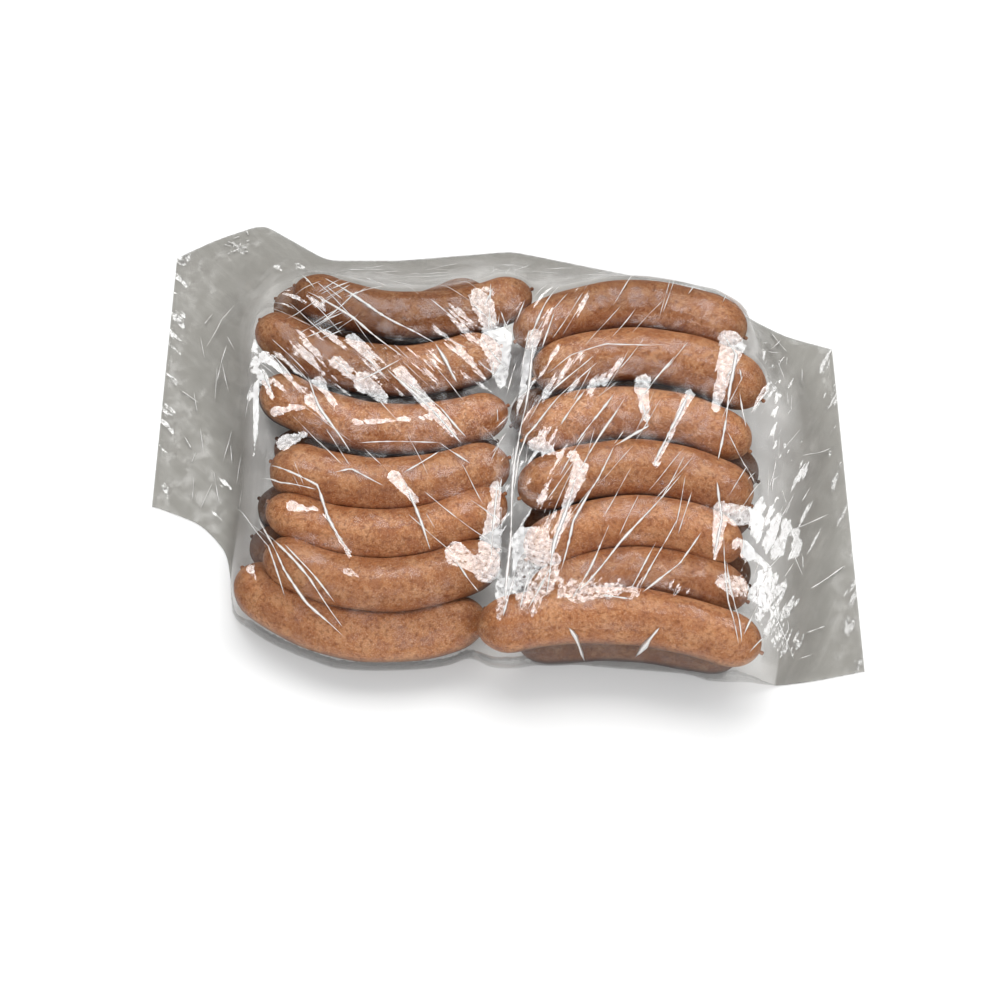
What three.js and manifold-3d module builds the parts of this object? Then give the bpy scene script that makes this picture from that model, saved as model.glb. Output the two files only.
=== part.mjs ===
// A clear film bag packed with smoked sausage links, lying flat on its back.
// Millimetres, +Z up, +X along the bag and +Y to its far side. The origin lies under the middle of
// the bag, on the flat face that it rests on.
// The links lie in two columns, two deep. Those that show stand out of the bag at true size, and
// the film falls from them to a thin wavy skirt, which ends left and right in a heat seal.
import * as THREE from 'three';
import { mergeVertices } from 'three/addons/utils/BufferGeometryUtils.js';
import Module from 'manifold-3d';

const { clamp, degToRad, euclideanModulo } = THREE.MathUtils;

// Driving dimensions of a link: a natural hog casing filled to 32 mm, tied about every 150 mm
const LINK_RADIUS = 16;
const LINK_LENGTH = 150;
const CAP_LENGTH = 21;
const KNOT_RADIUS = 2.6;
const KNOT_LENGTH = 5;
const LINK_SIDES = 12;
const BEND_STEP = 17;

// Heights of the axes of the links
const TOP_LAYER = 44;
const SLUMPED = 38;
const LOW_LAYER = 16;

// The film: it leaves a link a little under its axis and lands on the table some way out
const FILM_UNDER_AXIS = 1.5;
const FILM_LEAVES = 17;
const FILM_LANDS = 44;
const SKIRT_THICKNESS = 2;
const SKIRT_WAVE = 5;
const RIM_SHARE = 0.55;
const TUCK_SHARE = 0.55;
const SEAL_WIDTH = 10;
const BAG_END = 213;

// How finely the film is divided: steps round the bag, and rings from its middle to its rim
const SKIRT_STEPS = 104;
const FLOOR_RINGS = [0, 0.5, 1];
const LEVEL_SHARE = 0.55;
const TOP_RINGS = [0, LEVEL_SHARE, 0.62, 0.68, 0.74, 0.79, 0.84, 0.88, 0.92, 0.95, 0.98, 1];

// The links that show. Each stands at the middle of its arc: x, y and z of that point, the turn of
// its middle against +X and the angle of its bend, both in degrees, then its length and radius as
// shares of LINK_LENGTH and LINK_RADIUS. The left column sags and the right one arches.
const LINKS = [
  [-54, 62, TOP_LAYER, -1, 62, 1.04, 0.92],
  [-76, 25, TOP_LAYER, -7, 76, 1.08, 0.97],
  [-71, -14, TOP_LAYER, -6, 70, 1.06, 0.94],
  [-64, -51, TOP_LAYER + 1, 1, 54, 0.98, 1.03],
  [-65, -81, TOP_LAYER - 1, 2, 76, 1.0, 0.93],
  [-68, -110, SLUMPED + 1, -1, 76, 0.97, 0.99],
  [-84, -134, SLUMPED - 12, -10, 84, 1.06, 1.0],
  [79, 69, TOP_LAYER, 1, -76, 1.02, 0.97],
  [91, 34, TOP_LAYER + 1, -6, -76, 1.0, 1.03],
  [81, -4, TOP_LAYER, -3, -72, 0.97, 0.98],
  [79, -40, TOP_LAYER + 1, -2, -72, 0.97, 1.04],
  [76, -73, TOP_LAYER - 1, 1, -80, 0.9, 0.98],
  [78, -101, SLUMPED - 1, 1, -70, 0.9, 0.94],
  [67, -130, TOP_LAYER + 1, -4, -46, 1.1, 1.0],
  [75, -133, LOW_LAYER, -3, -30, 0.9, 0.97],
].map(([x, y, z, turn, bend, lengthShare, radiusShare]) => {
  const length = LINK_LENGTH * lengthShare;
  return {
    x,
    y,
    z,
    turn: degToRad(turn),
    length,
    radius: LINK_RADIUS * radiusShare,
    arcRadius: length / degToRad(bend),
  };
});

// The outline of the bag from above, from the far corner of its right seal round to the near one
const OUTLINE = [
  [BAG_END, 62],
  [184, 71],
  [162, 84],
  [133, 107],
  [80, 118],
  [8, 135],
  [-66, 128],
  [-114, 128],
  [-158, 156],
  [-188, 144],
  [-BAG_END, 130],
  [-BAG_END, 40],
  [-BAG_END, -46],
  [-182, -58],
  [-163, -76],
  [-157, -100],
  [-135, -130],
  [-92, -148],
  [-44, -147],
  [-8, -136],
  [50, -149],
  [112, -153],
  [148, -156],
  [184, -154],
  [BAG_END, -150],
  [BAG_END, -50],
].map(([x, y]) => new THREE.Vector3(x, y, 0));

const wasm = await Module();
wasm.setup();

// Turns a closed three.js geometry into a solid that can be joined
function solidOf(geometry) {
  geometry.deleteAttribute('normal');
  geometry.deleteAttribute('uv');
  const welded = mergeVertices(geometry, 1e-3);
  return new wasm.Manifold(new wasm.Mesh({
    numProp: 3,
    vertProperties: new Float32Array(welded.attributes.position.array),
    triVerts: new Uint32Array(welded.index.array),
  }));
}

// Turns a joined solid back into a three.js geometry
function geometryOf(solid) {
  const mesh = solid.getMesh();
  const geometry = new THREE.BufferGeometry();
  geometry.setAttribute('position', new THREE.BufferAttribute(mesh.vertProperties, 3));
  geometry.setIndex(new THREE.BufferAttribute(mesh.triVerts, 1));
  geometry.computeVertexNormals();
  return geometry;
}

// The outline of a link: the cut casing and its knot, the round end, the long middle, and back
function linkProfile({ length, radius }) {
  const half = length / 2;
  const points = [
    new THREE.Vector2(0, -half),
    new THREE.Vector2(KNOT_RADIUS, -half),
    new THREE.Vector2(KNOT_RADIUS * 0.8, -half + KNOT_LENGTH),
  ];
  for (const turn of [20, 42, 65, 90]) {
    const angle = degToRad(turn);
    const along = -half + KNOT_LENGTH + CAP_LENGTH * (1 - Math.cos(angle));
    points.push(new THREE.Vector2(radius * Math.sin(angle), along));
  }
  const start = points.at(-1).y;
  const steps = Math.round(-start / BEND_STEP);
  for (let i = 1; i <= steps; i += 1) {
    points.push(new THREE.Vector2(radius, start * (1 - i / steps)));
  }
  const otherHalf = points.slice(0, -1).reverse().map((p) => new THREE.Vector2(p.x, -p.y));
  return [...points, ...otherHalf];
}

// One link: turned round its own axis, bent to an arc that lies level, then set in its place
function linkGeometry(link) {
  const geometry = new THREE.LatheGeometry(linkProfile(link), LINK_SIDES);
  geometry.rotateZ(-Math.PI / 2);
  const position = geometry.attributes.position;
  for (let i = 0; i < position.count; i += 1) {
    const angle = position.getX(i) / link.arcRadius;
    const reach = link.arcRadius - position.getY(i);
    position.setX(i, reach * Math.sin(angle));
    position.setY(i, link.arcRadius - reach * Math.cos(angle));
  }
  geometry.rotateZ(link.turn);
  geometry.translate(link.x, link.y, link.z);
  return geometry;
}

// The distance, seen from above, from a point to the full-width stretch of a link's axis
function distanceToLink(x, y, link) {
  const local = new THREE.Vector2(x - link.x, y - link.y);
  local.rotateAround(new THREE.Vector2(), -link.turn);
  const half = (link.length / 2 - CAP_LENGTH) / Math.abs(link.arcRadius);
  const side = Math.sign(link.arcRadius);
  const angle = clamp(Math.atan2(local.x, (link.arcRadius - local.y) * side), -half, half);
  const nearest = new THREE.Vector2(Math.abs(link.arcRadius) * Math.sin(angle), 0);
  nearest.y = link.arcRadius * (1 - Math.cos(angle));
  return nearest.distanceTo(local);
}

// The height of the film: as high as the packed links hold it, then down to the skirt, where its
// two leaves lie apart in low waves that die out in the flat heat seals
function filmHeight(x, y, around) {
  const held = LINKS.map((link) => {
    const away = distanceToLink(x, y, link);
    const fall = clamp((away - FILM_LEAVES) / (FILM_LANDS - FILM_LEAVES), 0, 1);
    return (link.z - FILM_UNDER_AXIS) * (1 - fall) ** 1.2;
  });
  const loose = clamp((BAG_END - Math.abs(x)) / SEAL_WIDTH - 1, 0, 1);
  const wave = 0.5 + 0.3 * Math.sin(around * 9) + 0.2 * Math.sin(around * 17 + 1);
  return Math.max(SKIRT_THICKNESS + SKIRT_WAVE * wave * loose, ...held);
}

// The filled film without the links that stand out of it: rings of the bag's outline, shrunk
// towards the middle. Those on top lie at the height of the film and those below lie flat. Where
// the bag is full to its rim, the rim stands up and the film tucks in under it.
function filmGeometry() {
  const outline = new THREE.CatmullRomCurve3(OUTLINE, true, 'centripetal');
  const below = FLOOR_RINGS.map((share) => new THREE.Vector2(share, 0));
  const above = TOP_RINGS.map((share) => new THREE.Vector2(share, 1)).reverse();
  const geometry = new THREE.LatheGeometry([...below, ...above], SKIRT_STEPS);
  geometry.rotateX(Math.PI / 2);
  const position = geometry.attributes.position;
  for (let i = 0; i < position.count; i += 1) {
    const share = Math.hypot(position.getX(i), position.getY(i));
    const around = Math.atan2(position.getY(i), position.getX(i));
    const edge = outline.getPointAt(euclideanModulo(around / (2 * Math.PI), 1));
    edge.x = clamp(edge.x, -BAG_END, BAG_END);
    const inside = edge.clone().multiplyScalar(TOP_RINGS.at(-3));
    const rim = Math.max(SKIRT_THICKNESS, RIM_SHARE * filmHeight(inside.x, inside.y, around));
    const isRim = share > 0.999;
    const isTop = position.getZ(i) > 0.5;
    const point = edge.clone().multiplyScalar(share);
    if (isTop && share < LEVEL_SHARE + 0.01) {
      point.z = TOP_LAYER - FILM_UNDER_AXIS;
    } else if (isTop) {
      point.z = isRim ? rim : filmHeight(point.x, point.y, around);
    } else if (isRim) {
      point.setLength(point.length() - TUCK_SHARE * (rim - SKIRT_THICKNESS));
    }
    position.setXYZ(i, point.x, point.y, point.z);
  }
  return geometry;
}

// Sets a geometry with the middle of its box over the origin
function centred(geometry) {
  geometry.computeBoundingBox();
  const middle = geometry.boundingBox.getCenter(new THREE.Vector3());
  return geometry.translate(-middle.x, -middle.y, 0);
}

const joined = LINKS.reduce(
  (whole, link) => whole.add(solidOf(linkGeometry(link))),
  solidOf(filmGeometry()),
);

// Where two links touch above the film, a little air is shut in: only the outer shell is kept
const [outer] = joined.decompose().sort((a, b) => b.volume() - a.volume());

const bag = new THREE.Mesh(
  centred(geometryOf(outer)),
  new THREE.MeshStandardMaterial({ color: 0xb07252, roughness: 0.35, metalness: 0 }),
);
bag.name = 'bag';

const group = new THREE.Group();
group.add(bag);

export default group;
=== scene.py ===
import math

import bpy
import numpy as np
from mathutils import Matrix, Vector
from mathutils.bvhtree import BVHTree
from mathutils.geometry import delaunay_2d_cdt


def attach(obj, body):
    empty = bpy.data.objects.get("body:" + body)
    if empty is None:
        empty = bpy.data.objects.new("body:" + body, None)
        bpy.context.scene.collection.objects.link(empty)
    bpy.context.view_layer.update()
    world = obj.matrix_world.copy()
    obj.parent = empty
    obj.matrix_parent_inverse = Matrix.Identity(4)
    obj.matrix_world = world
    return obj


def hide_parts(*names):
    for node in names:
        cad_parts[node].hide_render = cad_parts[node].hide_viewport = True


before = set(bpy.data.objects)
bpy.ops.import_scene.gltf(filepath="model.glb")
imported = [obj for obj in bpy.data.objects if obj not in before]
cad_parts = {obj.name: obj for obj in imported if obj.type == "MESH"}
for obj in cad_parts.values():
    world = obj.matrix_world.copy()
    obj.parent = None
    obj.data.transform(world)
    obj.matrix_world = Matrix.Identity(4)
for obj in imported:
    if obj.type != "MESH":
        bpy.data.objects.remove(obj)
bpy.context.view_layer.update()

MM = 0.001

# The camera, as the photograph was taken: held over the near side of the bag and tipped down at it,
# with a 50 mm lens about 0.8 m away. It aims at a point a little on the near side of the bag's middle.
AIM = Vector((0, -54, 30)) * MM
CAMERA_DISTANCE = 820 * MM
CAMERA_ELEVATION = math.radians(68)
CAMERA_LENS = 50

away = Vector((0, -math.cos(CAMERA_ELEVATION), math.sin(CAMERA_ELEVATION)))
bpy.ops.object.camera_add(
    location=AIM + away * CAMERA_DISTANCE,
    rotation=(math.pi / 2 - CAMERA_ELEVATION, 0, 0),
)
camera = bpy.context.object
camera.name = "camera"
camera.data.lens = CAMERA_LENS
bpy.context.scene.camera = camera


# The floor: a pale matt table top, far wider than the view, which isn't part of the object.
# It lies a hair under the film, so that the two don't share a plane.
def linear(colour):
    """The linear RGBA of an sRGB hex colour such as #c08050."""
    channels = [int(colour[i:i + 2], 16) / 255 for i in (1, 3, 5)]
    return (*[c / 12.92 if c <= 0.04045 else ((c + 0.055) / 1.055) ** 2.4 for c in channels], 1)


def node(material, kind, inputs=(), **settings):
    """Adds a node to a material, with its settings, and gives each named input a value or a link."""
    new = material.node_tree.nodes.new("ShaderNode" + kind)
    for name, value in settings.items():
        setattr(new, name, value)
    for socket, value in dict(inputs).items():
        if isinstance(value, bpy.types.NodeSocket):
            material.node_tree.links.new(value, new.inputs[socket])
        else:
            new.inputs[socket].default_value = value
    return new


def blank_material(name):
    """A new material with nothing but its output, and that output node."""
    material = bpy.data.materials.new(name)
    material.use_nodes = True
    material.node_tree.nodes.clear()
    return material, material.node_tree.nodes.new("ShaderNodeOutputMaterial")


def put_surface(material, output, shader):
    material.node_tree.links.new(shader.outputs[0], output.inputs["Surface"])


# Painted board: even, matt, near white
table_paint, table_output = blank_material("matt white painted board")
table_shader = node(table_paint, "BsdfPrincipled", {
    "Base Color": linear("#fbfbfa"),
    "Roughness": 0.75,
})
put_surface(table_paint, table_output, table_shader)

bpy.ops.object.select_all(action="DESELECT")
bpy.ops.mesh.primitive_plane_add(size=6, location=(0, 0, -0.3 * MM))
table = bpy.context.object
table.name = "table"
table.data.materials.append(table_paint)

# Studio light: a bright softbox high over the far side, which the film mirrors where it lies level,
# a small one over the right, a long soft one over the near side, and an even pale room.
SOFTBOXES = {
    "key": ((0, 0.5, 1.15), 1.1, 0.6, 11),
    "side": ((0.7, 0.2, 0.95), 0.3, 0.4, 1.2),
    "front": ((0.1, -1.1, 0.9), 2, 1.2, 12),
}
for name, (place, width, height, watts) in SOFTBOXES.items():
    toward = (AIM - Vector(place)).to_track_quat("-Z", "Y").to_euler()
    bpy.ops.object.light_add(type="AREA", location=place, rotation=toward)
    softbox = bpy.context.object
    softbox.name = name
    softbox.data.shape = "RECTANGLE"
    softbox.data.size = width
    softbox.data.size_y = height
    softbox.data.energy = watts
bpy.context.scene.view_settings.view_transform = "Standard"
room = bpy.data.worlds.new("pale room")
bpy.context.scene.world = room
room.use_nodes = True
room.node_tree.nodes["Background"].inputs["Color"].default_value = linear("#f2f4f7")
room.node_tree.nodes["Background"].inputs["Strength"].default_value = 0.43

# The sausage links: coarse pork in natural hog casing, 32 mm thick, twisted off about every 150 mm
# and smoked. Each has round ends that pleat into a small tied knot, bends a little, and is pressed
# flat where it lies against its neighbours. They lie in two columns, two deep.
LINK_RADIUS = 16
LINK_LENGTH = 150
CAP_LENGTH = 21
KNOT_RADIUS = 1.2
KNOT_LENGTH = 2.8
CASING_SIDES = 44
MIDDLE_RINGS = 14
TOP_LAYER = 44
SLUMPED = 38
LOW_LAYER = 16.4
OPEN_TO_FAR = 60

# Those of the top layer: x, y and z of the middle of the arc, its turn and bend in degrees, then
# length and radius as shares of the usual. The left column sags and the right one arches.
TOP_LINKS = [
    (-54, 62, TOP_LAYER, -1, 62, 1.04, 0.92),
    (-76, 25, TOP_LAYER, -7, 76, 1.08, 0.97),
    (-71, -14, TOP_LAYER, -6, 70, 1.06, 0.94),
    (-64, -51, TOP_LAYER + 1, 1, 54, 0.98, 1.03),
    (-65, -81, TOP_LAYER - 1, 2, 76, 1.0, 0.93),
    (-68, -110, SLUMPED + 1, -1, 76, 0.97, 0.99),
    (-84, -134, SLUMPED - 12, -10, 84, 1.06, 1.0),
    (79, 69, TOP_LAYER, 1, -76, 1.02, 0.97),
    (91, 34, TOP_LAYER + 1, -6, -76, 1.0, 1.03),
    (81, -4, TOP_LAYER, -3, -72, 0.97, 0.98),
    (79, -40, TOP_LAYER + 1, -2, -72, 0.97, 1.04),
    (76, -73, TOP_LAYER - 1, 1, -80, 0.9, 0.98),
    (78, -101, SLUMPED - 1, 1, -70, 0.9, 0.94),
    (67, -130, TOP_LAYER + 1, -4, -46, 1.1, 1.0),
]

# Those of the low layer lie in the furrows under them, and the front right one shows below its
# neighbour: x of the column, the bend, and y of each link from the far side to the near one.
LOW_COLUMNS = [
    (-75, 68, (72, 38, 3, -31, -62, -92)),
    (82, -68, (82, 52, 17, -17, -50, -81)),
]
LOW_LINKS = [(75, -133, LOW_LAYER, -3, -30, 0.9, 0.97)]
for column_x, bend, column in LOW_COLUMNS:
    for i, y in enumerate(column):
        LOW_LINKS.append((
            column_x + 7 * math.sin(2.4 * i),
            y,
            LOW_LAYER,
            4 * math.sin(1.7 * i + 1),
            bend + 6 * math.cos(2.1 * i),
            0.97 + 0.05 * math.sin(3.1 * i),
            0.98 + 0.03 * math.cos(1.3 * i),
        ))


def link_profile(half, radius):
    """Places along one half of a link and its radius there: the knot, the round end, the middle."""
    profile = [(-half, KNOT_RADIUS * 0.55), (-half + 0.6, KNOT_RADIUS), (-half + 1.5, KNOT_RADIUS * 0.95)]
    profile.append((-half + KNOT_LENGTH * 0.75, KNOT_RADIUS * 0.7))
    for turn in (9, 15, 22, 30, 38, 47, 57, 68, 80, 90):
        angle = math.radians(turn)
        along = -half + KNOT_LENGTH * 0.8 + CAP_LENGTH * (1 - math.cos(angle))
        profile.append((along, radius * math.sin(angle)))
    last = profile[-1][0]
    profile.extend((last * (1 - i / MIDDLE_RINGS), radius) for i in range(1, MIDDLE_RINGS + 1))
    return profile


def new_link(name, length, radius):
    """A straight link along X, drawn out ring by ring from a small disc at its cut end."""
    half_profile = link_profile(length / 2, radius)
    profile = half_profile + [(-along, r) for along, r in half_profile[-2::-1]]
    bpy.ops.object.select_all(action="DESELECT")
    bpy.ops.mesh.primitive_circle_add(
        vertices=CASING_SIDES,
        radius=profile[0][1] * MM,
        fill_type="NGON",
        location=(profile[0][0] * MM, 0, 0),
        rotation=(0, math.pi / 2, 0),
    )
    link = bpy.context.object
    link.name = name
    bpy.ops.object.transform_apply()
    bpy.ops.object.mode_set(mode="EDIT")
    bpy.ops.mesh.select_all(action="SELECT")
    for (before, r_before), (after, r_after) in zip(profile, profile[1:]):
        bpy.ops.mesh.extrude_region_move(
            TRANSFORM_OT_translate={"value": ((after - before) * MM, 0, 0)},
        )
        bpy.ops.transform.resize(
            value=(1, r_after / r_before, r_after / r_before),
            center_override=(after * MM, 0, 0),
        )
    bpy.ops.mesh.select_all(action="SELECT")
    bpy.ops.mesh.normals_make_consistent(inside=False)
    bpy.ops.object.mode_set(mode="OBJECT")
    return link


def mesh_points(piece):
    points = np.zeros(len(piece.data.vertices) * 3)
    piece.data.vertices.foreach_get("co", points)
    return points.reshape(-1, 3)


def set_mesh_points(piece, points):
    piece.data.vertices.foreach_set("co", np.ascontiguousarray(points).ravel())
    piece.data.update()


def along_link(points, link):
    """Each point seen from a link: millimetres along its axis, beside it and over it."""
    x, y, z, turn, bend, length_share, _ = link
    arc = LINK_LENGTH * length_share / math.radians(bend)
    cos, sin = math.cos(math.radians(turn)), math.sin(math.radians(turn))
    east, north = points[:, 0] / MM - x, points[:, 1] / MM - y
    east, north = east * cos + north * sin, north * cos - east * sin
    angle = np.arctan2(east * np.sign(arc), (arc - north) * np.sign(arc))
    beside = arc - np.sign(arc) * np.hypot(east, arc - north)
    return angle * arc, beside, points[:, 2] / MM - z


def link_radius(along, link):
    """The radius of a link at places along its axis, and nothing beyond its ends."""
    half = LINK_LENGTH * link[5] / 2
    into_cap = np.clip((half - KNOT_LENGTH * 0.8 - np.abs(along)) / CAP_LENGTH, 0, 1)
    return LINK_RADIUS * link[6] * np.sqrt(np.clip(1 - (1 - into_cap) ** 2, 0, 1))


PLEATS = 9
PLEAT_DEPTH = 0.035
PLEATS_END = 26
HALVES_DIFFER = 0.03


def pleat(piece, half, seed):
    """Gathers the casing into soft pleats round each knot, and makes the filling a little uneven."""
    points = mesh_points(piece) / MM
    along, across = points[:, 0], np.hypot(points[:, 1], points[:, 2])
    around = np.arctan2(points[:, 2], points[:, 1])
    to_end = half - np.abs(along)
    strength = np.clip((PLEATS_END - to_end) / 18, 0, 1) * np.clip((to_end - 3) / 4, 0, 1)
    folds = np.cos(around * PLEATS + seed)
    folds += 0.6 * np.cos(around * 14 + 2 * seed + np.sign(along))
    lumps = (
        0.012 * np.sin(along / 9 + seed + around)
        + 0.014 * np.sin(along / 16 + 2.1 * seed - 2 * around)
        + 0.010 * np.sin(along / 5.3 + 3 * seed + 3 * around)
    )
    inner = np.clip((to_end - KNOT_LENGTH) / 10, 0, 1)
    scale = 1 - PLEAT_DEPTH * strength * folds + lumps * inner
    points[:, 1] *= scale
    points[:, 2] *= scale
    # The filling leans: one half of a link is a little thicker than the other
    leaning = HALVES_DIFFER * math.sin(seed) * np.sin(along / half * 1.6) * inner
    points[:, 1:] *= (1 + leaning)[:, None]
    set_mesh_points(piece, points * MM)


PRESS_ROUNDS = 3
PRESS_SHARE = 0.55
DEEPEST_PRESS = 12
TABLE_GIVES = 0.6


def press(piece, link, neighbours):
    """Presses a link flat where it lies in a neighbour, each giving way by half, and on the table."""
    points = mesh_points(piece)
    for _ in range(PRESS_ROUNDS):
        for other in neighbours:
            along, beside, over = along_link(points, other)
            from_other = np.hypot(beside, over)
            into_other = link_radius(along, other) - from_other
            own_along, own_beside, own_over = along_link(points, link)
            inside_own = link_radius(own_along, link) - np.hypot(own_beside, own_over)
            gives = np.clip((into_other - inside_own) / 2, 0, DEEPEST_PRESS)
            near_axis = np.maximum(from_other, 1)
            arc_way = surface_way(points, other, beside, over, near_axis)
            points += arc_way * (gives * PRESS_SHARE * MM)[:, None]
    points[:, 2] = np.maximum(points[:, 2], TABLE_GIVES * MM)
    set_mesh_points(piece, points)


def surface_way(points, link, beside, over, distance):
    """The unit direction from a link's axis to each point."""
    x, y, _, turn, bend, length_share, _ = link
    arc = LINK_LENGTH * length_share / math.radians(bend)
    centre_x = x - arc * math.sin(math.radians(turn))
    centre_y = y + arc * math.cos(math.radians(turn))
    inward = np.column_stack([centre_x - points[:, 0] / MM, centre_y - points[:, 1] / MM])
    inward /= np.linalg.norm(inward, axis=1, keepdims=True) * np.sign(arc)
    return np.column_stack([inward * (beside / distance)[:, None], over / distance])


# Smoked sausage in natural casing: a thin skin with a satin gloss, through which the coarse mince
# shows as brown lean, paler fat and a few dark specks. Smoke browns it unevenly, more towards the
# knots, and the fine wrinkles of the dried casing break up its gloss. The same darkening also holds
# painted shade: on the lower part of each link and on the links of the low layer.
MINCE_GRAIN = 2.6
MINCE_WOBBLE = 1.1
SPECK = 2.1
SMOKE_PATCH = 9
SMOKED_ALL_OVER = 0.05
SMOKED_AT_ENDS = 0.16
PAINTED_SHADE_UNDERNEATH = 0.9
PAINTED_SHADE_LOW_LAYER = 0.6
PAINTED_SHADE_FAR_LOW_LINKS = 0.12
CASING_WRINKLE = 0.9
smoked_casing, casing_output = blank_material("smoked natural casing over coarse mince")
place = node(smoked_casing, "TexCoord").outputs["Object"]
tone = node(smoked_casing, "Attribute", attribute_name="smoke_and_shade").outputs["Fac"]
wobble = node(smoked_casing, "TexNoise", {
    "Vector": place, "Scale": 1 / (MINCE_GRAIN * MM), "Detail": 2.0,
})
wobbled = node(smoked_casing, "VectorMath", {
    0: place, 1: wobble.outputs["Color"], 2: (MINCE_WOBBLE * MM,) * 3,
}, operation="MULTIPLY_ADD")
mince = node(smoked_casing, "TexVoronoi", {
    "Vector": wobbled.outputs[0], "Scale": 1 / (MINCE_GRAIN * MM), "Randomness": 1.0,
})
mince_value = node(smoked_casing, "SeparateColor", {"Color": mince.outputs["Color"]})
mince_colour = node(smoked_casing, "ValToRGB", {"Fac": mince_value.outputs["Red"]})
ramp = mince_colour.color_ramp
ramp.elements[0].position, ramp.elements[0].color = 0.0, linear("#8e5335")
ramp.elements[1].position, ramp.elements[1].color = 1.0, linear("#efcfae")
for position, colour in ((0.2, "#ad6c40"), (0.5, "#c2814f"), (0.82, "#d69d6c")):
    step = ramp.elements.new(position)
    step.color = linear(colour)
patches = node(smoked_casing, "TexNoise", {
    "Vector": place, "Scale": 1 / (SMOKE_PATCH * MM), "Detail": 4.0, "Roughness": 0.6,
})
patch_amount = node(smoked_casing, "MapRange", {
    "Value": patches.outputs["Fac"], "From Min": 0.42, "From Max": 0.66, "To Min": 0.0, "To Max": 0.5,
})
softened = node(smoked_casing, "Mix", {
    "Factor": 0.1, "A": mince_colour.outputs[0], "B": linear("#c08056"),
}, data_type="RGBA")
browned = node(smoked_casing, "Mix", {
    "Factor": patch_amount.outputs[0], "A": softened.outputs["Result"], "B": linear("#9a5a37"),
}, data_type="RGBA")
pale_amount = node(smoked_casing, "MapRange", {
    "Value": patches.outputs["Fac"], "From Min": 0.5, "From Max": 0.34, "To Min": 0.0, "To Max": 0.34,
})
fatty = node(smoked_casing, "Mix", {
    "Factor": pale_amount.outputs[0], "A": browned.outputs["Result"], "B": linear("#e2b389"),
}, data_type="RGBA")
specks = node(smoked_casing, "TexNoise", {
    "Vector": place, "Scale": 1 / (SPECK * MM), "Detail": 2.0,
})
speck_amount = node(smoked_casing, "MapRange", {
    "Value": specks.outputs["Fac"], "From Min": 0.5, "From Max": 0.72, "To Min": 0.0, "To Max": 0.6,
})
specked = node(smoked_casing, "Mix", {
    "Factor": speck_amount.outputs[0], "A": fatty.outputs["Result"], "B": linear("#74391f"),
}, data_type="RGBA")
# The point attribute darkens the casing towards a deep brown: smoke browning, and painted shade
# underneath and on the low layer
toned = node(smoked_casing, "Mix", {
    "Factor": tone, "A": specked.outputs["Result"], "B": linear("#32150d"),
}, data_type="RGBA")
wrinkles = node(smoked_casing, "TexNoise", {
    "Vector": place, "Scale": 1 / (CASING_WRINKLE * MM), "Detail": 3.0, "Roughness": 0.55,
})
relief = node(smoked_casing, "Math", {
    0: mince.outputs["Distance"], 1: 0.5, 2: wrinkles.outputs["Fac"],
}, operation="MULTIPLY_ADD")
skin_bump = node(smoked_casing, "Bump", {
    "Height": relief.outputs[0], "Strength": 0.28, "Distance": 0.35 * MM,
})
gloss = node(smoked_casing, "MapRange", {
    "Value": wrinkles.outputs["Fac"], "From Min": 0.3, "From Max": 0.7, "To Min": 0.42, "To Max": 0.6,
})
casing_shader = node(smoked_casing, "BsdfPrincipled", {
    "Base Color": toned.outputs["Result"],
    "Roughness": gloss.outputs[0],
    "Normal": skin_bump.outputs[0],
    "IOR": 1.4,
    "Specular IOR Level": 0.35,
    "Subsurface Weight": 0.08,
    "Subsurface Radius": (1.0, 0.4, 0.22),
    "Subsurface Scale": 2.5 * MM,
})
put_surface(smoked_casing, casing_output, casing_shader)

links = [*TOP_LINKS, *LOW_LINKS]
link_names = [f"link_{number + 1:02d}" for number in range(len(links))]
for number, link in enumerate(links):
    x, y, z, turn, bend, length_share, radius_share = link
    length, radius = LINK_LENGTH * length_share, LINK_RADIUS * radius_share
    sausage = new_link(link_names[number], length, radius)
    pleat(sausage, length / 2, seed=number * 1.9)
    curl = sausage.modifiers.new("bend", "SIMPLE_DEFORM")
    curl.deform_method = "BEND"
    curl.deform_axis = "Z"
    curl.angle = math.radians(bend)
    bpy.ops.object.modifier_apply(modifier=curl.name)
    sausage.rotation_euler.z = math.radians(turn)
    sausage.location = Vector((x, y, z)) * MM
    bpy.ops.object.transform_apply()
    neighbours = [
        other for other in links
        if other is not link and math.dist(other[:3], link[:3]) < LINK_LENGTH * 1.3
    ]
    press(sausage, link, neighbours)
    points = mesh_points(sausage)
    along, _, over = along_link(points, link)
    to_end = length / 2 - np.abs(along)
    # Each link is a little darker or lighter at random, and a little darker towards the far side
    smoke_and_shade = SMOKED_ALL_OVER + 0.06 * math.sin(number * 2.7) + 0.0015 * max(y, 0)
    smoke_and_shade += SMOKED_AT_ENDS * np.clip((14 - to_end) / 14, 0, 1)
    # Painted shade: the lower part of each link, where it lies on the table and against its neighbours,
    # is darkened, except near its ends
    smoke_and_shade += PAINTED_SHADE_UNDERNEATH * np.clip((5 - over) / 11, 0, 1) * np.clip((to_end - 4) / 12, 0, 1)
    # The low layer is painted darker as painted shade under the top layer, but less so for its far links,
    # which lie in the open
    if z < SLUMPED / 2:
        smoke_and_shade += PAINTED_SHADE_LOW_LAYER if y < OPEN_TO_FAR else PAINTED_SHADE_FAR_LOW_LINKS
    attribute = sausage.data.attributes.new("smoke_and_shade", "FLOAT", "POINT")
    attribute.data.foreach_set("value", np.clip(smoke_and_shade, 0, 1).astype(np.float32))
    sausage.data.materials.append(smoked_casing)
    bpy.ops.object.shade_smooth()
    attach(sausage, "root")
    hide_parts("bag")

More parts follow.
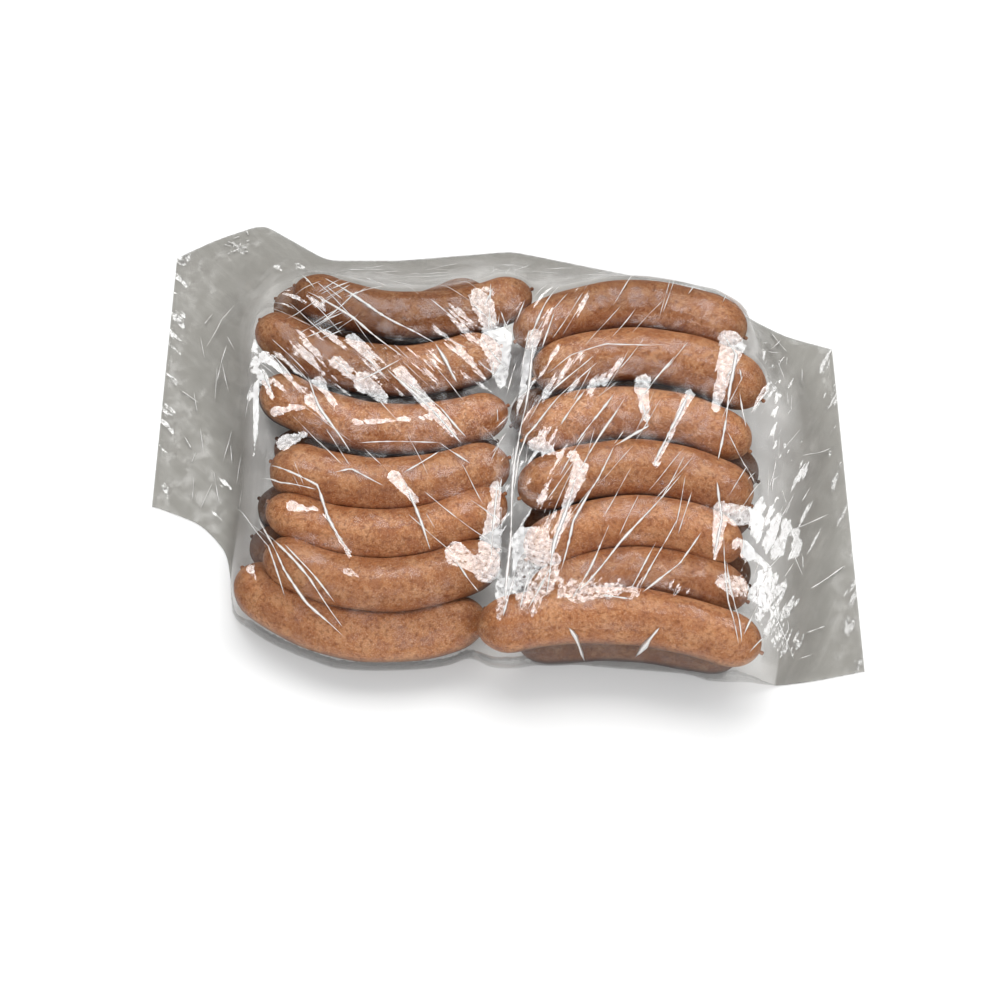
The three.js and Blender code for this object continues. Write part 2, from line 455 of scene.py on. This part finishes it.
# The bag: a tube of clear polyethylene film, sealed across at both ends and drawn over the links.
# Its two leaves meet at the bag's outline. The upper one is stretched over the links and sags
# between them, and the lower one lies on the table.
FAR_SIDE = [
    (-213, 130), (-188, 144), (-158, 156), (-114, 128), (-66, 128), (8, 135),
    (80, 118), (133, 107), (162, 84), (184, 71), (213, 62),
]
NEAR_SIDE = [
    (-213, -46), (-182, -58), (-165, -76), (-160, -101), (-139, -134), (-95, -153), (-44, -151),
    (-6, -141), (50, -152), (112, -157), (150, -160), (184, -156), (213, -150),
]
BAG_END = 213
FILM_COLUMNS = 300
FILM_ROWS = 226
FILM_CLEARANCE = 0.5
FILM_SAG = 0.014
FILM_ROUNDS = 1200
CORNER_ROUNDING = 9
TABLE_GAP = 0.25
LEAF_GAP = 0.3
RIM_SHARE = 0.36
SKIRT_LIFT = 1.6
SEAL_WIDTH = 10


def even_side(points, count):
    """Points spread evenly along a side of the bag, with its corners rounded off."""
    points = np.array(points, float)
    run = np.concatenate([[0], np.cumsum(np.linalg.norm(np.diff(points, axis=0), axis=1))])
    even = np.linspace(0, run[-1], count)
    side = np.column_stack([np.interp(even, run, points[:, k]) for k in (0, 1)])
    window = np.hanning(2 * CORNER_ROUNDING + 1)[1:-1]
    window /= window.sum()
    reach = len(window) // 2
    before = 2 * side[0] - side[reach:0:-1]
    after = 2 * side[-1] - side[-2:-reach - 2:-1]
    padded = np.concatenate([before, side, after])
    return np.column_stack([np.convolve(padded[:, k], window, "valid") for k in (0, 1)])


def held_out(side, margin):
    """A near side of the bag, moved out where it would run closer than a margin to the links."""
    packed = np.concatenate([mesh_points(bpy.data.objects[name]) for name in link_names]) / MM
    reach = [packed[np.abs(packed[:, 0] - x) < 6, 1].min(initial=0) for x in side[:, 0]]
    moved = np.minimum(side[:, 1], np.array(reach) - margin)
    side[:, 1] = np.convolve(np.pad(moved, 3, "edge"), np.ones(7) / 7, "valid")
    return side


def rounded_off(heights, steps):
    """Heights with their edges rounded off from above: a running highest, then a running mean."""
    for gather in (np.max, np.mean):
        padded = np.pad(heights, steps, "edge")
        windows = np.lib.stride_tricks.sliding_window_view(padded, (2 * steps + 1, 2 * steps + 1))
        heights = gather(windows, axis=(2, 3))
    return heights


def surface_tree(pieces):
    """The surfaces of some pieces together, for looking up their height."""
    corners, faces = [], []
    for piece in pieces:
        first = len(corners)
        corners.extend(vertex.co / MM for vertex in piece.data.vertices)
        faces.extend([first + i for i in face.vertices] for face in piece.data.polygons)
    return BVHTree.FromPolygons(corners, faces)


def heights_of(tree, x, y):
    """The height of the topmost surface over each plan point in millimetres, and 0 beside it."""
    hits = (tree.ray_cast(Vector((*place, 200)), Vector((0, 0, -1)))[0] for place in zip(x.flat, y.flat))
    return np.reshape([hit.z if hit else 0 for hit in hits], x.shape)


def gaps(grid, axis):
    """The distance from each point of a grid of plan points to its next one along an axis."""
    return np.linalg.norm(np.diff(grid, axis=axis), axis=2)


def crumpled(x, y, direction, cell, seed):
    """A height from -1 to 1 at each point: flat random facets, drawn out along a direction."""
    turn = math.radians(direction)
    along = (x * math.cos(turn) + y * math.sin(turn)) / cell[0]
    beside = (y * math.cos(turn) - x * math.sin(turn)) / cell[1]
    draw = np.random.default_rng(seed)
    corners = [
        Vector((i + draw.uniform(-0.42, 0.42), j + draw.uniform(-0.42, 0.42)))
        for i in range(math.floor(along.min()) - 2, math.ceil(along.max()) + 3)
        for j in range(math.floor(beside.min()) - 2, math.ceil(beside.max()) + 3)
    ]
    placed, _, facets, *_ = delaunay_2d_cdt(corners, [], [], 0, 1e-6)
    lifted = [(*corner, draw.uniform(1, 3)) for corner in placed]
    return heights_of(BVHTree.FromPolygons(lifted, facets), along, beside) - 2


far_side = even_side(FAR_SIDE, FILM_COLUMNS)
near_side = held_out(even_side(NEAR_SIDE, FILM_COLUMNS), margin=2.2)
across = np.linspace(0, 1, FILM_ROWS)
across = across - 0.085 * np.sin(2 * math.pi * across)
plan = near_side[None] + (far_side - near_side)[None] * across[:, None, None]
plan_x, plan_y = plan[..., 0], plan[..., 1]
link_tree = surface_tree([bpy.data.objects[name] for name in link_names])
held_up = rounded_off(heights_of(link_tree, plan_x, plan_y), steps=2)

# Where the bag is full to its edge, its leaves meet part of the way up the outer links
near_fill = held_up[:40].max(axis=0)
smooth_fill = np.convolve(np.pad(near_fill, 8, "edge"), np.ones(17) / 17, "valid")
rim_height = np.full((FILM_ROWS, FILM_COLUMNS), TABLE_GAP + LEAF_GAP)
rim_height[0] = np.maximum(rim_height[0], RIM_SHARE * smooth_fill)

# Each point of the film lies between its neighbours, a little lower where it sags, unless a link
# holds it up
east, west = gaps(plan, 1)[1:-1, 1:], gaps(plan, 1)[1:-1, :-1]
north, south = gaps(plan, 0)[1:, 1:-1], gaps(plan, 0)[:-1, 1:-1]
stiffness = 1 / (east * west) + 1 / (north * south)
floor = held_up + FILM_CLEARANCE
height = np.maximum(floor, rim_height)
for _ in range(FILM_ROUNDS):
    pull = (
        height[1:-1, 2:] / (east * (east + west)) + height[1:-1, :-2] / (west * (east + west))
        + height[2:, 1:-1] / (north * (north + south)) + height[:-2, 1:-1] / (south * (north + south))
    )
    height[1:-1, 1:-1] = np.maximum((pull - FILM_SAG / 2) / stiffness, floor[1:-1, 1:-1])
    height[1:-1, 1:-1] = np.maximum(height[1:-1, 1:-1], TABLE_GAP + 0.6)

# It is crumpled into long shallow facets, which run down to the right on the left column of links
# and up to the right on the right one. Off the links it is crumpled more finely too.
LEFT_CREASES, RIGHT_CREASES = -45, 62
CREASE_LAYERS = (((62, 19), 1.9, 5), ((31, 9), 0.7, 11))
FINE_CREASES, FINE_DEPTH = (15, 5), 1.1
right_share = np.clip((plan_x + 18) / 36, 0, 1)
creased = np.zeros_like(height)
for cell, depth, seed in CREASE_LAYERS:
    left = crumpled(plan_x, plan_y, LEFT_CREASES, cell, seed)
    right = crumpled(plan_x, plan_y, RIGHT_CREASES, cell, seed + 1)
    creased += depth * (left * (1 - right_share) + right * right_share)
finely = crumpled(plan_x, plan_y, RIGHT_CREASES, FINE_CREASES, 21)
creased += FINE_DEPTH * finely * np.clip((24 - height) / 12, 0, 1)
for _ in range(3):
    beside = creased[1:-1, 2:] + creased[1:-1, :-2] + creased[2:, 1:-1] + creased[:-2, 1:-1]
    creased[1:-1, 1:-1] = (2 * creased[1:-1, 1:-1] + beside) / 6

to_side = np.minimum(across, 1 - across)[:, None]
loose = np.clip((BAG_END - np.abs(plan_x) - SEAL_WIDTH) / 14, 0, 1) * np.clip(to_side / 0.05, 0, 1)
off_links = np.clip((height - floor) / 6, 0, 1)
folded = height + loose * (creased + SKIRT_LIFT) * (0.45 + 0.55 * off_links)
upper = np.maximum(np.maximum(folded, floor), TABLE_GAP + 0.4)
upper[[0, -1]], upper[:, [0, -1]] = rim_height[[0, -1]], rim_height[:, [0, -1]]

# The lower leaf runs in under the bag from the same outline, down a round edge to the table
inward = np.array([0, 0.5, 1.2, 2.4, 4.2, 6.8, 10, 14, 19, 60, 100])[:, None]
width = np.linalg.norm(far_side - near_side, axis=1)
lower_across = np.concatenate([inward / width, 1 - inward[6::-1] / width])
lower_plan = near_side[None] + (far_side - near_side)[None] * lower_across[..., None]
into_bag = np.clip(1 - lower_across * width / np.maximum(rim_height[0], 1), 0, 1)
lower = TABLE_GAP + (rim_height[0] - TABLE_GAP) * (1 - np.sqrt(1 - into_bag ** 2))
lower[-1], lower[:, [0, -1]] = rim_height[-1], TABLE_GAP + LEAF_GAP

# Between the links and beside folds it is pulled level in flat bands, which mirror the light whole:
# the plan points of each band's two ends, then its width, which narrows to the second end
BAND_LEVEL = 0.86
LEVEL_BANDS = [
    (-89, 38, -61, 14, 4.5), (-79, 9, -67, -1, 9), (-96, 22, -85, 9, 6), (-58, 14, -26, -26, 6),
    (-11, 65, -4, 36, 10), (-2, 36, 1, 8, 12), (-142, 30, -122, 12, 4), (-143, 18, -133, -1, 4.5),
    (-145, 13, -146, -26, 4), (-107, 9, -96, -7, 5), (-111, -3, -97, -21, 4), (-124, -30, -113, -26, 7),
    (-84, -18, -35, -14, 2.6), (-131, -9, -110, -8, 3.5), (20, 41, 10, -13, 4.5), (60, 8, 71, 22, 4),
    (83, 8, 85, -16, 6), (111, 1, 88, -48, 3.6), (138, 35, 126, -9, 10), (20, -32, 35, -40, 5),
    (42, -40, 47, -48, 5), (46, -48, 25, -107, 5), (17, -93, 13, -128, 14), (-7, -107, -2, -56, 9),
    (-24, -97, -7, -107, 9), (2, -116, 0, -136, 6), (42, -121, 73, -119, 8), (133, -74, 158, -70, 8),
    (136, -92, 154, -96, 7), (128, -114, 160, -122, 8), (125, -71, 121, -100, 6), (24, -110, 18, -134, 6),
    (-119, -69, -100, -72, 4), (-99, -74, -84, -99, 2.6), (-143, -101, -136, -112, 3),
    (-86, -108, -78, -110, 2.4), (-60, -53, -48, -67, 5), (31, -100, 27, -124, 4), (89, -45, 98, -26, 3),
]
level = np.zeros_like(upper)
for x0, y0, x1, y1, band_width in LEVEL_BANDS:
    run_x, run_y = x1 - x0, y1 - y0
    share = np.clip(((plan_x - x0) * run_x + (plan_y - y0) * run_y) / (run_x ** 2 + run_y ** 2), 0, 1)
    away = np.hypot(plan_x - x0 - share * run_x, plan_y - y0 - share * run_y)
    tapered = band_width * (0.85 - 0.55 * share)
    level = np.maximum(level, BAND_LEVEL * np.clip(0.5 - (away - tapered) / 3, 0, 1))

# Where it hangs loose it is crumpled more finely, and mirrors the light in scraps: the middle and
# half size of each such patch, and how much of it is bright
CRUMPLED_PATCHES = [
    ((160, -74), (28, 20), 0.66), ((157, -112), (26, 20), 0.64), ((160, -134), (26, 14), 0.54),
    ((163, 3), (20, 24), 0.44), ((172, 38), (20, 20), 0.36), ((176, -40), (26, 70), 0.32),
    ((-174, 139), (12, 12), 0.42), ((-137, 118), (14, 7), 0.45), ((-150, 26), (7, 28), 0.52),
    ((-112, 24), (34, 30), 0.47), ((-20, 30), (34, 46), 0.43), ((20, -60), (34, 80), 0.33),
    ((-166, -40), (30, 22), 0.3), ((-120, 70), (30, 18), 0.36), ((60, -118), (60, 10), 0.4),
    ((-60, 16), (50, 26), 0.4), ((34, 10), (34, 30), 0.4), ((34, 62), (30, 20), 0.36),
]
for (middle_x, middle_y), (half_x, half_y), brightness in CRUMPLED_PATCHES:
    away = np.hypot((plan_x - middle_x) / half_x, (plan_y - middle_y) / half_y)
    level = np.maximum(level, brightness * np.clip(2.5 * (1 - away), 0, 1))

# Its heat seals are pressed into a fine grain, which sparkles
SEAL_LEVEL = 0.36
sealed = np.clip(np.abs(plan_x) - (BAG_END - SEAL_WIDTH), 0, 1)
level = np.maximum(level, SEAL_LEVEL * sealed)

# What it mirrors is torn into streaks along the creases: the place of each point along and across
# them, drawn out six times
STREAK_LENGTH = 6
crease_way = np.where(right_share > 0.5, math.radians(RIGHT_CREASES), math.radians(LEFT_CREASES))
streak = np.stack([
    (plan_x * np.cos(crease_way) + plan_y * np.sin(crease_way)) / STREAK_LENGTH,
    plan_y * np.cos(crease_way) - plan_x * np.sin(crease_way),
    0 * plan_x,
], axis=2) * MM

# It is slack off the links, except where it wraps the near ones tightly
slack = np.clip((36 - upper) / 24, 0, 1)
slack *= 1 - np.clip(1 - across / 0.1, 0, 1)[:, None] * (np.abs(plan_x) < 160)

# Over the far links it lies double, and greys them too: the middle and half size of each such
# place, and how much it greys there
DOUBLED_PATCHES = [
    ((-78, 68), (84, 34), 0.5), ((-104, 26), (56, 34), 0.4), ((70, 82), (84, 28), 0.34),
]
for (middle_x, middle_y), (half_x, half_y), amount in DOUBLED_PATCHES:
    away = np.hypot((plan_x - middle_x) / half_x, (plan_y - middle_y) / half_y)
    slack = np.maximum(slack, amount * np.clip(3 * (1 - away), 0, 1))


def new_sheet(name, sheet_plan, sheet_height):
    """A sheet of film: a fine grid with its points moved to their plan and height."""
    rows, columns = sheet_height.shape
    bpy.ops.object.select_all(action="DESELECT")
    bpy.ops.mesh.primitive_grid_add(x_subdivisions=columns - 1, y_subdivisions=rows - 1, size=1)
    sheet = bpy.context.object
    sheet.name = name
    sheet_points = np.concatenate([sheet_plan, sheet_height[..., None]], axis=2).reshape(-1, 3)
    set_mesh_points(sheet, sheet_points * MM)
    return sheet


def join_sheets(sheets):
    """Joins sheets into the first one, welded where they meet, with their faces turned outward."""
    bpy.ops.object.select_all(action="DESELECT")
    for sheet in sheets:
        sheet.select_set(True)
    bpy.context.view_layer.objects.active = sheets[0]
    bpy.ops.object.join()
    bpy.ops.object.mode_set(mode="EDIT")
    bpy.ops.mesh.select_all(action="SELECT")
    bpy.ops.mesh.remove_doubles(threshold=0.01 * MM)
    bpy.ops.mesh.normals_make_consistent(inside=False)
    bpy.ops.object.mode_set(mode="OBJECT")
    bpy.ops.object.shade_smooth()


film = new_sheet("film_bag", plan, upper)
film_tree = surface_tree([film])
under_leaf = new_sheet("under_leaf", lower_plan, lower)
for sheet, level_here, slack_here in ((film, level, slack), (under_leaf, 0 * lower, 0 * lower)):
    for name, values in (("level", level_here), ("slack", slack_here)):
        attribute = sheet.data.attributes.new(name, "FLOAT", "POINT")
        attribute.data.foreach_set("value", values.astype(np.float32).ravel())
streaks = film.data.attributes.new("streak", "FLOAT_VECTOR", "POINT")
streaks.data.foreach_set("vector", streak.astype(np.float32).ravel())
join_sheets([film, under_leaf])

# Clear polyethylene film: colourless and 0.05 mm thin, so light goes straight through it except
# where it mirrors. It mirrors least where it clings to a link and most in its level bands, its fine
# crinkles break up what it mirrors, and it greys what lies behind it where it is slack.
CRINKLE = 2.6
TEAR = 6
CLING_PATCH = 9
clear_film, film_output = blank_material("clear polyethylene film")
film_place = node(clear_film, "TexCoord").outputs["Object"]
level_place = node(clear_film, "Attribute", attribute_name="level").outputs["Fac"]
slack_place = node(clear_film, "Attribute", attribute_name="slack").outputs["Fac"]
crinkles = node(clear_film, "TexNoise", {
    "Vector": film_place, "Scale": 1 / (CRINKLE * MM), "Detail": 2.0, "Roughness": 0.55,
})
clinging = node(clear_film, "TexNoise", {
    "Vector": film_place, "Scale": 1 / (CLING_PATCH * MM), "Detail": 2.0,
})
streak_place = node(clear_film, "Attribute", attribute_name="streak").outputs["Vector"]
torn = node(clear_film, "TexNoise", {
    "Vector": streak_place, "Scale": 1 / (TEAR * MM), "Detail": 4.0, "Roughness": 0.6,
})
frayed = node(clear_film, "Math", {
    0: crinkles.outputs["Fac"], 1: 0.15, 2: level_place,
}, operation="MULTIPLY_ADD")
ragged = node(clear_film, "Math", {
    0: torn.outputs["Fac"], 1: 2.2, 2: frayed.outputs[0],
}, operation="MULTIPLY_ADD")
is_level = node(clear_film, "MapRange", {
    "Value": ragged.outputs[0], "From Min": 1.66, "From Max": 1.74, "To Min": 0.0, "To Max": 1.0,
}).outputs[0]
flattened = node(clear_film, "Mix", {
    "Factor": is_level, "A": node(clear_film, "NewGeometry").outputs["Normal"], "B": (0, 0, 1),
}, data_type="VECTOR").outputs["Result"]
any_way = node(clear_film, "VectorMath", {
    0: crinkles.outputs["Color"], 1: (0.5, 0.5, 0.5),
}, operation="SUBTRACT")
crinkle_depth = node(clear_film, "MapRange", {
    "Value": is_level, "From Min": 0.0, "From Max": 1.0, "To Min": 0.2, "To Max": 0.28,
})
lean = node(clear_film, "VectorMath", {
    0: any_way.outputs[0], "Scale": crinkle_depth.outputs[0],
}, operation="SCALE")
leaning = node(clear_film, "VectorMath", {0: flattened, 1: lean.outputs[0]}, operation="ADD")
film_normal = node(clear_film, "VectorMath", {0: leaning.outputs[0]}, operation="NORMALIZE").outputs[0]

glance = node(clear_film, "LayerWeight", {"Blend": 0.3, "Normal": film_normal})
loose_mirror = node(clear_film, "MapRange", {
    "Value": clinging.outputs["Fac"], "From Min": 0.46, "From Max": 0.64, "To Min": 0.005, "To Max": 0.03,
})
band_strength = node(clear_film, "MapRange", {
    "Value": crinkles.outputs["Fac"], "From Min": 0.35, "From Max": 0.65, "To Min": 0.08, "To Max": 0.17,
})
band_mirror = node(clear_film, "Math", {0: is_level, 1: band_strength.outputs[0]}, operation="MULTIPLY")
least_mirrored = node(clear_film, "Math", {
    0: loose_mirror.outputs[0], 1: band_mirror.outputs[0],
}, operation="MAXIMUM")
mirrored = node(clear_film, "MapRange", {
    "Value": glance.outputs["Fresnel"],
    "From Min": 0.03,
    "From Max": 1.0,
    "To Min": least_mirrored.outputs[0],
    "To Max": 0.6,
})
greying = node(clear_film, "MapRange", {
    "Value": torn.outputs["Fac"], "From Min": 0.3, "From Max": 0.7, "To Min": 0.88, "To Max": 1.1,
})
greyed = node(clear_film, "Math", {0: slack_place, 1: greying.outputs[0]}, operation="MULTIPLY")
see_through = node(clear_film, "Mix", {
    "Factor": greyed.outputs[0], "A": (0.97, 0.97, 0.965, 1), "B": (0.57, 0.56, 0.54, 1),
}, data_type="RGBA")
through = node(clear_film, "BsdfTransparent", {"Color": see_through.outputs["Result"]})
shine = node(clear_film, "BsdfPrincipled", {
    "Base Color": (0.95, 0.95, 0.95, 1),
    "Metallic": 1.0,
    "Roughness": 0.14,
    "Normal": film_normal,
})
film_mix = node(clear_film, "MixShader", {
    0: mirrored.outputs[0], 1: through.outputs[0], 2: shine.outputs[0],
})
put_surface(clear_film, film_output, film_mix)
film.data.materials.append(clear_film)
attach(film, "root")
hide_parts("bag")

# The folds: where it is pulled tight, the film is pinched up into straight thin ridges. Each long
# one is its width and then the plan points that it runs through.
LONG_FOLDS = [
    (1.0, (-108, 81), (-73, 56), (-39, 34)), (1.5, (-39, 34), (-31, 21), (-25, 8)),
    (0.9, (-117, 71), (-87, 52), (-57, 24)), (0.6, (-57, 24), (-86, 8)),
    (1.2, (-68, 18), (-47, -1), (-22, -31)), (0.8, (-54, 8), (-35, -8), (-19, -27)),
    (1.0, (-113, 12), (-105, -8), (-86, -37)), (0.7, (-136, 29), (-121, 10)),
    (0.9, (-144, 25), (-132, 0)), (0.5, (-81, -31), (-35, -30)), (0.6, (-35, -30), (-17, -45)),
    (0.7, (37, 79), (27, 60), (16, 36)), (1.0, (21, 43), (15, -7), (8, -45)),
    (0.6, (32, 55), (25, 30)), (0.5, (27, 14), (42, 25), (63, 32), (100, 32)),
    (0.6, (55, 25), (28, 0)), (0.7, (57, 21), (35, -1), (15, -26), (8, -51)),
    (0.7, (50, 3), (35, -20)), (0.9, (66, 0), (44, -32)), (0.9, (72, -3), (44, -51)),
    (1.3, (44, -51), (31, -91), (25, -124)), (0.7, (103, 25), (82, -3)),
    (0.9, (82, -3), (86, -21), (65, -34)), (0.9, (65, -34), (56, -54), (41, -79), (34, -109)),
    (1.2, (112, 3), (98, -23), (88, -46)), (1.1, (9, -32), (6, -82), (3, -128)),
    (0.7, (12, -34), (7, -64)), (0.8, (104, -51), (89, -67), (68, -91), (39, -126)),
    (0.7, (62, -81), (50, -106), (40, -125)), (0.6, (88, -91), (72, -119)),
    (0.6, (100, -77), (77, -119)), (0.8, (113, -85), (101, -103), (78, -121)),
    (0.8, (8, -109), (2, -136)), (0.7, (17, -105), (11, -133)), (0.7, (27, -107), (16, -131)),
    (0.7, (56, -123), (71, -125)), (0.6, (-160, -50), (-131, -91), (-121, -119)),
    (0.9, (-139, -71), (-121, -106), (-108, -123), (-87, -142)),
    (0.8, (-132, -83), (-106, -112), (-88, -136)), (0.6, (-121, -91), (-92, -124)),
    (1.1, (-132, -43), (-104, -58), (-97, -76), (-83, -100)),
    (0.7, (-141, -45), (-126, -55), (-104, -60)), (1.0, (-55, -53), (-48, -71), (-39, -95)),
    (0.6, (-35, -36), (-54, -50)), (0.7, (-95, -51), (-85, -48), (-66, -58)),
    (1.1, (133, 40), (139, 25), (133, -7), (125, -42)), (1.1, (123, -56), (126, -76), (119, -101)),
    (0.6, (127, -100), (130, -124), (131, -150)), (0.6, (126, -88), (126, -124), (130, -151)),
    (0.6, (146, -121), (133, -146)), (0.6, (154, -136), (136, -155)),
    (0.8, (-2, -53), (-3, -76), (-5, -100)), (0.7, (-25, -100), (-12, -119)),
    (1.6, (38, -141), (44, -147), (48, -151)), (1.9, (87, -141), (81, -147), (76, -151)),
]

# Finer ones are drawn at random: the middle and half size of their patch, how many, their direction
# and its spread in degrees, then their least and most length and their width
FINE_FOLDS = [
    ((-78, 10), (72, 88), 46, -46, 10, (10, 40), 0.32),
    ((72, -10), (62, 92), 46, 62, 10, (10, 40), 0.32),
    ((-104, 55), (26, 20), 16, 33, 6, (12, 30), 0.35),
    ((0, 20), (10, 88), 26, 80, 22, (8, 24), 0.45),
    ((162, -62), (22, 84), 46, 68, 22, (6, 30), 0.5),
    ((168, 30), (22, 30), 14, 62, 25, (5, 20), 0.45),
    ((-174, 140), (8, 8), 12, 40, 60, (2, 6), 0.5),
    ((-172, 10), (20, 70), 22, 92, 22, (8, 26), 0.4),
    ((0, 112), (120, 6), 18, 0, 9, (12, 32), 0.35),
]
FOLD_STEP = 2.2


def pinched_fold(points, fold_width, draw):
    """A closed sliver of film laid over the bag, thin and sharp at both ends."""
    points = np.array(points, float)
    run = np.concatenate([[0], np.cumsum(np.linalg.norm(np.diff(points, axis=0), axis=1))])
    share = np.linspace(0, 1, max(6, round(run[-1] / FOLD_STEP)))
    line = np.column_stack([np.interp(share * run[-1], run, points[:, k]) for k in (0, 1)])
    way = np.gradient(line, axis=0)
    way /= np.linalg.norm(way, axis=1, keepdims=True)
    sideways = np.column_stack([-way[:, 1], way[:, 0]])
    line += sideways * (np.sin(share * run[-1] / 9 + draw.uniform(0, 6)) * 0.4)[:, None]
    full = np.clip(5 * np.minimum(share, 1 - share), 0, 1) ** 0.7 * fold_width
    full *= draw.uniform(0.7, 1.9, len(share)) + 0.5 * np.sin(share * 9 + draw.uniform(0, 6))
    base = heights_of(film_tree, line[:, 0], line[:, 1]) + 0.05
    sides = np.stack([line + sideways * (full * k)[:, None] for k in (-0.5, 0, 0.5, -0.5)])
    return sides, np.stack([base, base + 0.22 * full, base, base])


draw = np.random.default_rng(7)
fold_lines = [(points, fold_width) for fold_width, *points in LONG_FOLDS]
for middle, half, count, direction, spread, lengths, fold_width in FINE_FOLDS:
    for _ in range(count):
        start = np.array(middle) + draw.uniform(-1, 1, 2) * half
        turn = math.radians(direction + draw.normal(0, spread))
        stop = start + draw.uniform(*lengths) * np.array([math.cos(turn), math.sin(turn)])
        fold_lines.append(([start, stop], fold_width * draw.uniform(0.6, 1.3)))
slivers = [(points, *pinched_fold(points, fold_width, draw)) for points, fold_width in fold_lines]
on_film = [sliver for sliver in slivers if sliver[2].min() > 0.3]
folds = [new_sheet(f"fold_{i}", sides, heights) for i, (_, sides, heights) in enumerate(on_film)]
folds[0].name = "film_folds"
join_sheets(folds)

# The same film, pinched double: it whitens there, and hides most of what lies behind it. Its white is
# partly a painted highlight, which stands in for the glint of each crease.
PINCHED_WHITE_AND_GLINT = 0.78
pinched_film, pinched_output = blank_material("clear polyethylene film pinched white with painted glint")
white_and_painted_glint = node(pinched_film, "BsdfPrincipled", {
    "Base Color": linear("#fffdfa"),
    "Roughness": 0.3,
    "Specular IOR Level": 0.6,
})
pinched_clear = node(pinched_film, "BsdfTransparent", {"Color": (0.97, 0.97, 0.965, 1)})
pinched_mix = node(pinched_film, "MixShader", {
    0: PINCHED_WHITE_AND_GLINT, 1: pinched_clear.outputs[0], 2: white_and_painted_glint.outputs[0],
})
put_surface(pinched_film, pinched_output, pinched_mix)
folds[0].data.materials.append(pinched_film)
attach(folds[0], "root")
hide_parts("bag")

bpy.context.view_layer.update()
